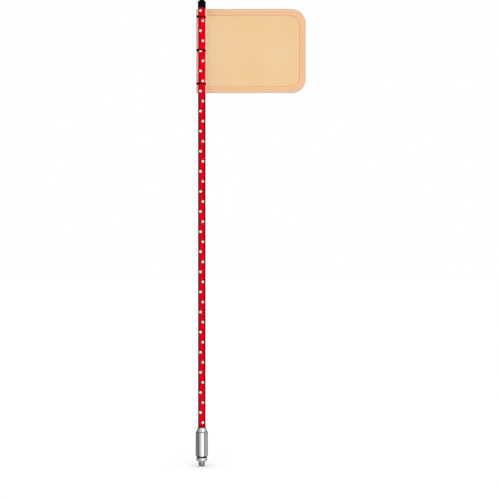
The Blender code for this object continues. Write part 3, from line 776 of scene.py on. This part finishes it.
add_round(cap_profile, (nib_r - nib_round, cap_high.z - nib_round), nib_round)
cap_profile.append((nib_r, shoulder_z + nib_foot))
add_round(cap_profile, (cap_r - shoulder_round, shoulder_z - shoulder_round), shoulder_round)
cap_profile += [
    (cap_r - rim_step, cap_low.z + rim_height + rim_slope),
    (cap_r, cap_low.z + rim_height),
    (cap_r, cap_low.z),
    (tube_r + cap_clearance, cap_low.z),
    (tube_r + cap_clearance, tube_high.z + cap_gap),
    (0.0, tube_high.z + cap_gap),
]
cap_rubber = finish_material("cap_rubber", (0.002, 0.002, 0.002), 0.42)
adjust(cap_rubber, {"Specular IOR Level": 0.02})
moulding = pattern(cap_rubber, (1.0, 1.0, 1.0), 1400.0)
tint(cap_rubber, moulding, (0.0006, 0.0006, 0.0006), (0.002, 0.002, 0.002))
roughen(cap_rubber, moulding, 0.35, 0.55)
relief(cap_rubber, moulding, 0.00002, 0.5)
cap = add_piece(lathe(cap_profile), "cap", "whip", cap_rubber, 35)
soften(cap, 0.2 * mm, 2, 40)
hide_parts("end_cap")

# ---------------------------------------------------------------- flag mesh
# PVC-coated polyester mesh in high-visibility orange, cut to one piece and nearly flat. Yarns cross
# every 3.4 mm, over and under, and every second upright one is heavier.
band_low, band_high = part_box("flag_hoist_band")
hem_low, hem_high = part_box("flag_hem_tape")
flag_y = (band_low.y + band_high.y) / 2
flag_middle_z = (hem_low.z + hem_high.z) / 2
hem_width = 22.0 * mm
corner_radius = 45.0 * mm
yarn_pitch = 3.39 * mm
thin_yarn = 1.6 * mm
thick_yarn = 2.3 * mm
yarn_thickness = 0.5 * mm
yarn_lift = 0.12 * mm
mesh_inset = 8 * mm
mesh_left = band_high.x + 1.0 * mm
mesh_columns = round((hem_high.x - mesh_inset - mesh_left) / yarn_pitch)
mesh_rows = round((hem_high.z - hem_low.z - 14 * mm) / yarn_pitch)
ripple_start = 25 * mm
slow_ripple = 2.6 * mm
quick_ripple = 1.2 * mm
end_share = 0.88


def ripple(x, z):
    """How far the cloth stands off its plane: slow waves that grow towards the fly."""
    along = max(0.0, x - ripple_start) / (hem_high.x - ripple_start)
    up = (z - flag_middle_z) / (hem_high.z - hem_low.z)
    slow = slow_ripple * math.sin(7.0 * along + 1.3 * up)
    quick = quick_ripple * math.sin(15.0 * along - 2.6 * up + 0.8)
    return (slow + quick) * along * (2 - along)


def corner_r_at(inset):
    """The flag's corner radius at a distance inside its edge; the hem is widest at its corners."""
    return corner_radius - 0.5 * inset


def outside_corner(x, z, inset):
    """Whether a point of the flag lies beyond its rounded corners, drawn in by inset."""
    radius = corner_r_at(inset)
    across = x - (hem_high.x - end_share * inset - radius)
    up = abs(z - flag_middle_z) - ((hem_high.z - hem_low.z) / 2 - inset - radius)
    return across > 0 and up > 0 and math.hypot(across, up) > radius


def thicken(piece, name, thickness):
    """Gives a flat piece its thickness, half to each side."""
    body = piece.modifiers.new(name, "SOLIDIFY")
    body.thickness = thickness
    body.offset = 0.0


mesh_bm = bmesh.new()
bmesh.ops.create_grid(
    mesh_bm,
    x_segments=mesh_columns,
    y_segments=mesh_rows,
    size=0.5,
    matrix=Matrix.Rotation(math.pi / 2, 4, "X"),
)
for vert in mesh_bm.verts:
    column = round((vert.co.x + 0.5) * mesh_columns)
    row = round((vert.co.z + 0.5) * mesh_rows)
    vert.co.x = mesh_left + column * yarn_pitch
    vert.co.z = flag_middle_z + (row - mesh_rows / 2) * yarn_pitch
    vert.co.y = flag_y
beyond = []
for cell in mesh_bm.faces:
    centre = cell.calc_center_median()
    if outside_corner(centre.x, centre.z, mesh_inset):
        beyond.append(cell)
bmesh.ops.delete(mesh_bm, geom=beyond, context="FACES")
cells = list(mesh_bm.faces)
bmesh.ops.inset_individual(mesh_bm, faces=cells, thickness=(thin_yarn + thick_yarn) / 4)
bmesh.ops.delete(mesh_bm, geom=cells, context="FACES")
shift = (thick_yarn - thin_yarn) / 4
for vert in mesh_bm.verts:
    column = (vert.co.x - mesh_left) / yarn_pitch
    row = (vert.co.z - flag_middle_z) / yarn_pitch + mesh_rows / 2
    at_crossing = abs(column - round(column)) < 0.05 and abs(row - round(row)) < 0.05
    lift = yarn_lift * (-1) ** (round(column) + round(row)) if at_crossing else 0.0
    if not at_crossing:
        heavier = 1 if round(column) % 2 == 0 else -1
        vert.co.x += math.copysign(shift * heavier, column - round(column))
    vert.co.y = flag_y + ripple(vert.co.x, vert.co.z) + lift
mesh_orange = finish_material("mesh_orange", (0.77, 0.40, 0.055), 0.6)
adjust(mesh_orange, {"Specular IOR Level": 0.2})
yarn_tone = pattern(mesh_orange, (1.0, 1.0, 1.0), 260.0)
tint(mesh_orange, yarn_tone, (0.74, 0.384, 0.047), (0.80, 0.417, 0.065))
flag_mesh = add_piece(mesh_bm, "flag_mesh", None, mesh_orange, 60)
thicken(flag_mesh, "yarn_thickness", yarn_thickness)
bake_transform(flag_mesh)
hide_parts("flag_mesh_panel")

# ---------------------------------------------------------------- hem tapes and rolled edge
# The mesh is bound all round except at the hoist: a folded tape over its edge, a second tape inside it,
# and a thin rolled cord at the very edge, its dark brown partly its own colour and partly painted shade
# along the edge. All follow the flag's rounded corners.


def hem_path(inset, start_x):
    """Points round the flag at a distance inside its edge, from the lower hoist to the upper."""
    radius = corner_r_at(inset)
    right = hem_high.x - end_share * inset - radius
    low_z = hem_low.z + inset + radius
    high_z = hem_high.z - inset - radius
    along = [start_x + (right - start_x) * step / 60 for step in range(60)]
    turns = [math.radians(90 * step / 16) for step in range(16)]
    points = [(x, hem_low.z + inset) for x in along]
    points += [(right + radius * math.sin(turn), low_z - radius * math.cos(turn)) for turn in turns]
    points += [(right + radius, low_z + (high_z - low_z) * step / 36) for step in range(36)]
    points += [(right + radius * math.cos(turn), high_z + radius * math.sin(turn)) for turn in turns]
    points += [(x, hem_high.z - inset) for x in [right] + along[::-1]]
    return points


def cloth_uv(piece):
    """Lays the piece's UV map out as the flat cloth, in metres, so that a weave follows it."""
    layer = piece.data.uv_layers.new(name="cloth")
    for loop in piece.data.loops:
        place = piece.data.vertices[loop.vertex_index].co
        layer.data[loop.index].uv = (place.x, place.z)


def weave(material, pitch, depth):
    """Raises warp and weft at a pitch in metres on the cloth's UV map, and returns their factor."""
    nodes = material.node_tree.nodes
    links = material.node_tree.links
    place = nodes.new("ShaderNodeUVMap")
    place.uv_map = "cloth"
    yarns = []
    for direction in ("X", "Y"):
        wave = nodes.new("ShaderNodeTexWave")
        wave.bands_direction = direction
        wave.inputs["Scale"].default_value = math.tau / (20 * pitch)
        wave.inputs["Distortion"].default_value = 0.6
        wave.inputs["Detail Scale"].default_value = 2.0
        links.new(place.outputs["UV"], wave.inputs["Vector"])
        yarns.append(wave.outputs["Fac"])
    crossed = nodes.new("ShaderNodeMath")
    crossed.operation = "MAXIMUM"
    links.new(yarns[0], crossed.inputs[0])
    links.new(yarns[1], crossed.inputs[1])
    relief(material, crossed.outputs["Value"], depth, 0.5)
    return crossed.outputs["Value"]


def lay_band(name, outer_inset, inner_inset, thickness, material):
    """A flat tape between two distances from the flag's edge."""
    bm = bmesh.new()
    rails = []
    for inset in (outer_inset, inner_inset):
        verts = [bm.verts.new((x, flag_y + ripple(x, z), z)) for x, z in hem_path(inset, hem_start)]
        rails += [bm.edges.new(pair) for pair in zip(verts, verts[1:])]
    bmesh.ops.bridge_loops(bm, edges=rails)
    bmesh.ops.recalc_face_normals(bm, faces=bm.faces)
    tape = add_piece(bm, name, None, material, 60)
    cloth_uv(tape)
    thicken(tape, "tape_thickness", thickness)
    soften(tape, 0.15 * mm, 2, 50)
    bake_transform(tape)
    return tape


hem_start = mesh_left
outer_tape_width = 11.8 * mm
outer_thickness = 1.3 * mm
inner_thickness = 0.95 * mm
tape_yarn = 0.9 * mm
overlock_pitch = 4.6 * mm
binding_orange = finish_material("binding_orange", (0.765, 0.475, 0.28), 0.7)
tape_tone = weave(binding_orange, tape_yarn, 0.00012)
tint(binding_orange, tape_tone, (0.725, 0.45, 0.265), (0.795, 0.495, 0.295), 0.2, 0.95)
inner_orange = finish_material("inner_orange", (0.82, 0.465, 0.235), 0.7)
tape_tone = weave(inner_orange, tape_yarn, 0.00012)
tint(inner_orange, tape_tone, (0.78, 0.44, 0.22), (0.85, 0.485, 0.245), 0.2, 0.95)
# Painted shade: the cord's dark brown stands partly for the shade along the flag's edge.
cord_brown_with_painted_shade = finish_material("cord_brown_with_painted_shade", (0.40, 0.31, 0.26), 0.75)
overlock_tone = weave(cord_brown_with_painted_shade, overlock_pitch, 0.0002)
tint(cord_brown_with_painted_shade, overlock_tone, (0.32, 0.25, 0.21), (0.48, 0.37, 0.31), 0.2, 0.95)
outer_tape = lay_band(
    "hem_outer_tape", 0.5 * mm, outer_tape_width, outer_thickness, binding_orange
)
inner_tape = lay_band(
    "hem_inner_tape", outer_tape_width - 1 * mm, hem_width, inner_thickness, inner_orange
)
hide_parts("flag_hem_tape")


def sweep_cord(name, path, radius, material):
    """A round cord with closed ends laid along a path of (x, z) points in the cloth's surface."""
    places = []
    for before, (x, z), after in zip(path[:1] + path, path, path[1:] + path[-1:]):
        heading = math.atan2(after[1] - before[1], after[0] - before[0])
        place = Matrix.Translation((x, flag_y + ripple(x, z), z))
        places.append(place @ Matrix.Rotation(math.pi / 2 - heading, 4, "Y"))
    cord = add_piece(sweep(places, radius), name, None, material, 60)
    cloth_uv(cord)
    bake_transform(cord)
    return cord


edge_cord_r = 1.0 * mm
edge_path = hem_path(edge_cord_r, band_low.x + 0.5 * mm)
edge_cord = sweep_cord("edge_cord", edge_path, edge_cord_r, cord_brown_with_painted_shade)

# ---------------------------------------------------------------- hoist band
# A doubled strip of webbing sewn down the flag's pole side, 36 mm wide. Its colour is pinker towards
# its free edge and dark along that edge, a painted shadow of the tube darkens its middle, and it glows
# a little as painted light. The ties pass through cut slots on both sides of it.
tie_levels = ("top", "middle", "bottom")
tie_boxes = {level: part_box(f"cable_tie_{level}") for level in tie_levels}
tie_inner_r = tube_r + 0.35 * mm
tie_thickness = 1.2 * mm
tie_width = 3.6 * mm
slot_clearance = 0.5 * mm
behind_tube = 6 * mm
free_edge_cuts = [15.5 * mm, 16.5 * mm]
band_thickness = 1.5 * mm


def tie_middle(level):
    """Height of a tie's strap."""
    low, high = tie_boxes[level]
    return (low.z + high.z) / 2


band_right = 18.0 * mm
slot_near = tie_inner_r - slot_clearance
slot_far = tie_inner_r + tie_thickness + slot_clearance
slot_half_height = tie_width / 2 + 0.6 * mm
x_cuts = [-slot_far, -slot_near, -behind_tube, 0.0, behind_tube, slot_near, slot_far]
x_cuts += free_edge_cuts
z_cuts = []
slot_centres = [tie_middle(level) for level in tie_levels]
for centre in slot_centres:
    z_cuts += [centre - slot_half_height, centre + slot_half_height]
z_cuts = sorted(z_cuts)
band_bottom = hem_low.z
band_top = hem_high.z
band_bm = bmesh.new()
bmesh.ops.create_grid(
    band_bm, x_segments=1, y_segments=1, size=0.5, matrix=Matrix.Rotation(math.pi / 2, 4, "X")
)
for vert in band_bm.verts:
    vert.co.x = band_low.x if vert.co.x < 0 else band_right
    vert.co.z = band_bottom if vert.co.z < 0 else band_top
    vert.co.y = flag_y
for axis, cuts in ((0, x_cuts), (2, z_cuts)):
    for cut in cuts:
        middle = [0.0, flag_y, 0.0]
        middle[axis] = cut
        normal = [0.0, 0.0, 0.0]
        normal[axis] = 1.0
        bmesh.ops.bisect_plane(
            band_bm,
            geom=band_bm.verts[:] + band_bm.edges[:] + band_bm.faces[:],
            plane_co=middle,
            plane_no=normal,
        )
slots = []
for patch in band_bm.faces:
    centre = patch.calc_center_median()
    in_column = slot_near < abs(centre.x) < slot_far
    if in_column and any(abs(centre.z - slot) < slot_half_height for slot in slot_centres):
        slots.append(patch)
bmesh.ops.delete(band_bm, geom=slots, context="FACES")
band_webbing = finish_material("band_webbing", (0.97, 0.66, 0.42), 0.7)
weave(band_webbing, 1.2 * mm, 0.0002)
# Painted light: the webbing glows a little, brighter than its lighting makes it.
adjust(band_webbing, {"Emission Color": (1.0, 0.60, 0.45, 1.0), "Emission Strength": 0.26})
# Painted shadow: the middle behind the tube is darker, as the tube's shadow; the colour is pinker
# towards the free edge and dark along it.
tone_and_tube_shadow_stops = [
    (0.04, (0.55, 0.24, 0.13)),
    (0.08, (0.84, 0.34, 0.20)),
    (0.19, (0.85, 0.37, 0.215)),
    (0.25, (0.52, 0.24, 0.14)),
    (0.79, (0.52, 0.28, 0.15)),
    (0.85, (1.0, 0.64, 0.38)),
    (1.0, (0.93, 0.62, 0.36)),
]
grade(band_webbing, place_along(band_webbing, "X", band_low.x, band_right), tone_and_tube_shadow_stops)
band = add_piece(band_bm, "hoist_band", None, band_webbing, 60)
cloth_uv(band)
thicken(band, "webbing_thickness", band_thickness)
soften(band, 0.3 * mm, 2, 50)
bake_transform(band)
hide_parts("flag_hoist_band")

# ---------------------------------------------------------------- stitching
# Polyester thread: a zigzag along the hem's inner edge, a finer one between its two tapes and one down
# each side of the hoist band. Each stitch passes through the tape and stands proud on both faces.
thread_width = 1.0 * mm
thread_stand = 0.6 * mm


def points_along(path, pitch):
    """Evenly spaced (x, z, direction) along a path of (x, z) points."""
    left = pitch / 2
    for (x0, z0), (x1, z1) in zip(path, path[1:]):
        length = math.hypot(x1 - x0, z1 - z0)
        while left < length:
            share = left / length
            yield x0 + (x1 - x0) * share, z0 + (z1 - z0) * share, math.atan2(z1 - z0, x1 - x0)
            left += pitch
        left -= length


def sew(name, paths, reach, pitch, thickness, material):
    """Zigzag stitches along paths, reach metres to each side, through a tape of some thickness."""
    bm = bmesh.new()
    for path in paths:
        rails = []
        for shift in (0.0, thread_width):
            rail = []
            for number, (x, z, heading) in enumerate(points_along(path, pitch)):
                aside = reach if number % 2 else -reach
                x += shift * math.cos(heading) - aside * math.sin(heading)
                z += shift * math.sin(heading) + aside * math.cos(heading)
                rail.append(bm.verts.new((x, flag_y + ripple(x, z), z)))
            rails += [bm.edges.new(pair) for pair in zip(rail, rail[1:])]
        bmesh.ops.bridge_loops(bm, edges=rails)
    bmesh.ops.split_edges(bm, edges=[edge for edge in bm.edges if len(edge.link_faces) == 2])
    bmesh.ops.recalc_face_normals(bm, faces=bm.faces)
    thread = add_piece(bm, name, None, material, 60)
    cloth_uv(thread)
    thicken(thread, "through_the_tape", thickness + thread_stand)
    soften(thread, 0.22 * mm, 1, 40)
    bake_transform(thread)
    return thread


thread_brown = finish_material("thread_brown", (0.48, 0.21, 0.075), 0.6)
roughen(thread_brown, pattern(thread_brown, (1.0, 1.0, 1.0), 2500.0), 0.5, 0.7)
thread_orange = finish_material("thread_orange", (0.68, 0.36, 0.16), 0.6)
roughen(thread_orange, pattern(thread_orange, (1.0, 1.0, 1.0), 2500.0), 0.5, 0.7)
inner_seam = [hem_path(hem_width - 0.7 * mm, hem_start)]
outer_seam = [hem_path(outer_tape_width - 0.3 * mm, hem_start)]
seam_lines = (band_low.x + 3.4 * mm, band_right - 1.0 * mm)
band_seam = [[(x, band_bottom), (x, band_top)] for x in seam_lines]
inner_row = sew("stitches_inner", inner_seam, 1.0 * mm, 1.7 * mm, inner_thickness, thread_brown)
outer_row = sew("stitches_outer", outer_seam, 0.5 * mm, 2.3 * mm, outer_thickness, thread_orange)
band_row = sew("stitches_band", band_seam, 0.3 * mm, 3.0 * mm, band_thickness, thread_orange)

# ---------------------------------------------------------------- cable ties
# Black nylon ties, 3.6 mm wide. The strap goes round the tube, through the band's slots and across
# its back, and locks in a square head at the front left, where the tail is cut off short.
tie_back_y = flag_y + 1.6 * mm
tie_corner_r = 1.2 * mm
head_turn = math.radians(208)
head_deep = 5.2 * mm
head_wide = 8.0 * mm
head_tall = 8.0 * mm
head_round = 0.9 * mm
head_gap = 0.15 * mm
entry_rim = 0.9 * mm
entry_depth = 1.4 * mm
tail_size = (1.2 * mm, 5.0 * mm, 4.4 * mm)
tail_rise = 0.3 * mm
tail_out = 1.2 * mm
tooth_size = (0.3 * mm, 0.4 * mm, 3.0 * mm)
tooth_rise = 0.95 * mm
touching = 0.001 * mm
tie_nylon = finish_material("tie_nylon", (0.002, 0.002, 0.002), 0.38)
adjust(tie_nylon, {"Specular IOR Level": 0.03})
nylon_bloom = pattern(tie_nylon, (1.0, 1.0, 1.0), 1800.0)
tint(tie_nylon, nylon_bloom, (0.0006, 0.0006, 0.0006), (0.002, 0.002, 0.002))
roughen(tie_nylon, nylon_bloom, 0.3, 0.48)
for level in tie_levels:
    middle = tie_middle(level)
    radius = tie_inner_r + tie_thickness / 2
    back = tie_back_y + tie_thickness / 2
    corner = tie_corner_r + tie_thickness / 2
    strap_bm = bmesh.new()
    end_edge = [strap_bm.verts.new((-radius, 0.0, z)) for z in (-tie_width / 2, tie_width / 2)]
    edge = strap_bm.edges.new(end_edge)
    bmesh.ops.spin(
        strap_bm,
        geom=end_edge + [edge],
        axis=(0.0, 0.0, 1.0),
        cent=(0.0, 0.0, 0.0),
        angle=math.pi,
        steps=40,
    )
    for side in (1, -1):
        foot = Vector((side * radius, 0.0))
        ends = [v for v in strap_bm.verts if (v.co.xy - foot).length < touching]
        open_edge = [e for e in strap_bm.edges if all(v in ends for v in e.verts)]
        up = bmesh.ops.extrude_edge_only(strap_bm, edges=open_edge)["geom"]
        up_verts = [v for v in up if isinstance(v, bmesh.types.BMVert)]
        bmesh.ops.translate(strap_bm, vec=(0.0, back - corner, 0.0), verts=up_verts)
        up_edge = [e for e in up if isinstance(e, bmesh.types.BMEdge)]
        bmesh.ops.spin(
            strap_bm,
            geom=up_verts + up_edge,
            axis=(0.0, 0.0, 1.0),
            cent=(side * (radius - corner), back - corner, 0.0),
            angle=side * math.pi / 2,
            steps=6,
        )
    top_verts = [v for v in strap_bm.verts if abs(v.co.y - back) < touching]
    across = [e for e in strap_bm.edges if all(v in top_verts for v in e.verts)]
    bmesh.ops.bridge_loops(strap_bm, edges=across)
    bmesh.ops.translate(strap_bm, vec=(0.0, 0.0, middle), verts=strap_bm.verts)
    bmesh.ops.recalc_face_normals(strap_bm, faces=strap_bm.faces)
    strap = add_piece(strap_bm, f"tie_strap_{level}", "flag_hoist", tie_nylon, 40)
    thicken(strap, "strap_thickness", tie_thickness)
    soften(strap, 0.35 * mm, 2, 50)
    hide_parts(f"cable_tie_{level}")

    head_bm = bmesh.new()
    add_box(head_bm, (0.0, 0.0, 0.0), (head_deep, head_wide, head_tall))
    bmesh.ops.bevel(
        head_bm,
        geom=head_bm.edges[:],
        offset=head_round,
        segments=3,
        affect="EDGES",
        profile=0.5,
        material=-1,
    )
    entry = max(head_bm.faces, key=lambda face: face.normal.y * face.calc_area())
    bmesh.ops.inset_individual(head_bm, faces=[entry], thickness=entry_rim)
    bmesh.ops.translate(head_bm, vec=(0.0, -entry_depth, 0.0), verts=entry.verts[:])
    add_box(head_bm, (tail_rise, head_wide / 2 + tail_out, 0.0), tail_size)
    for tooth in range(4):
        ridge = (tooth_rise, head_wide / 2 + (0.4 + tooth) * mm, 0.0)
        add_box(head_bm, ridge, tooth_size)
    head_middle_r = tie_inner_r + head_gap + head_deep / 2
    place = Matrix.Translation((0.0, 0.0, middle)) @ Matrix.Rotation(head_turn, 4, "Z")
    place = place @ Matrix.Translation((head_middle_r, 0.0, 0.0))
    bmesh.ops.transform(head_bm, matrix=place, verts=head_bm.verts)
    add_piece(head_bm, f"tie_head_{level}", "flag_hoist", tie_nylon, 40)
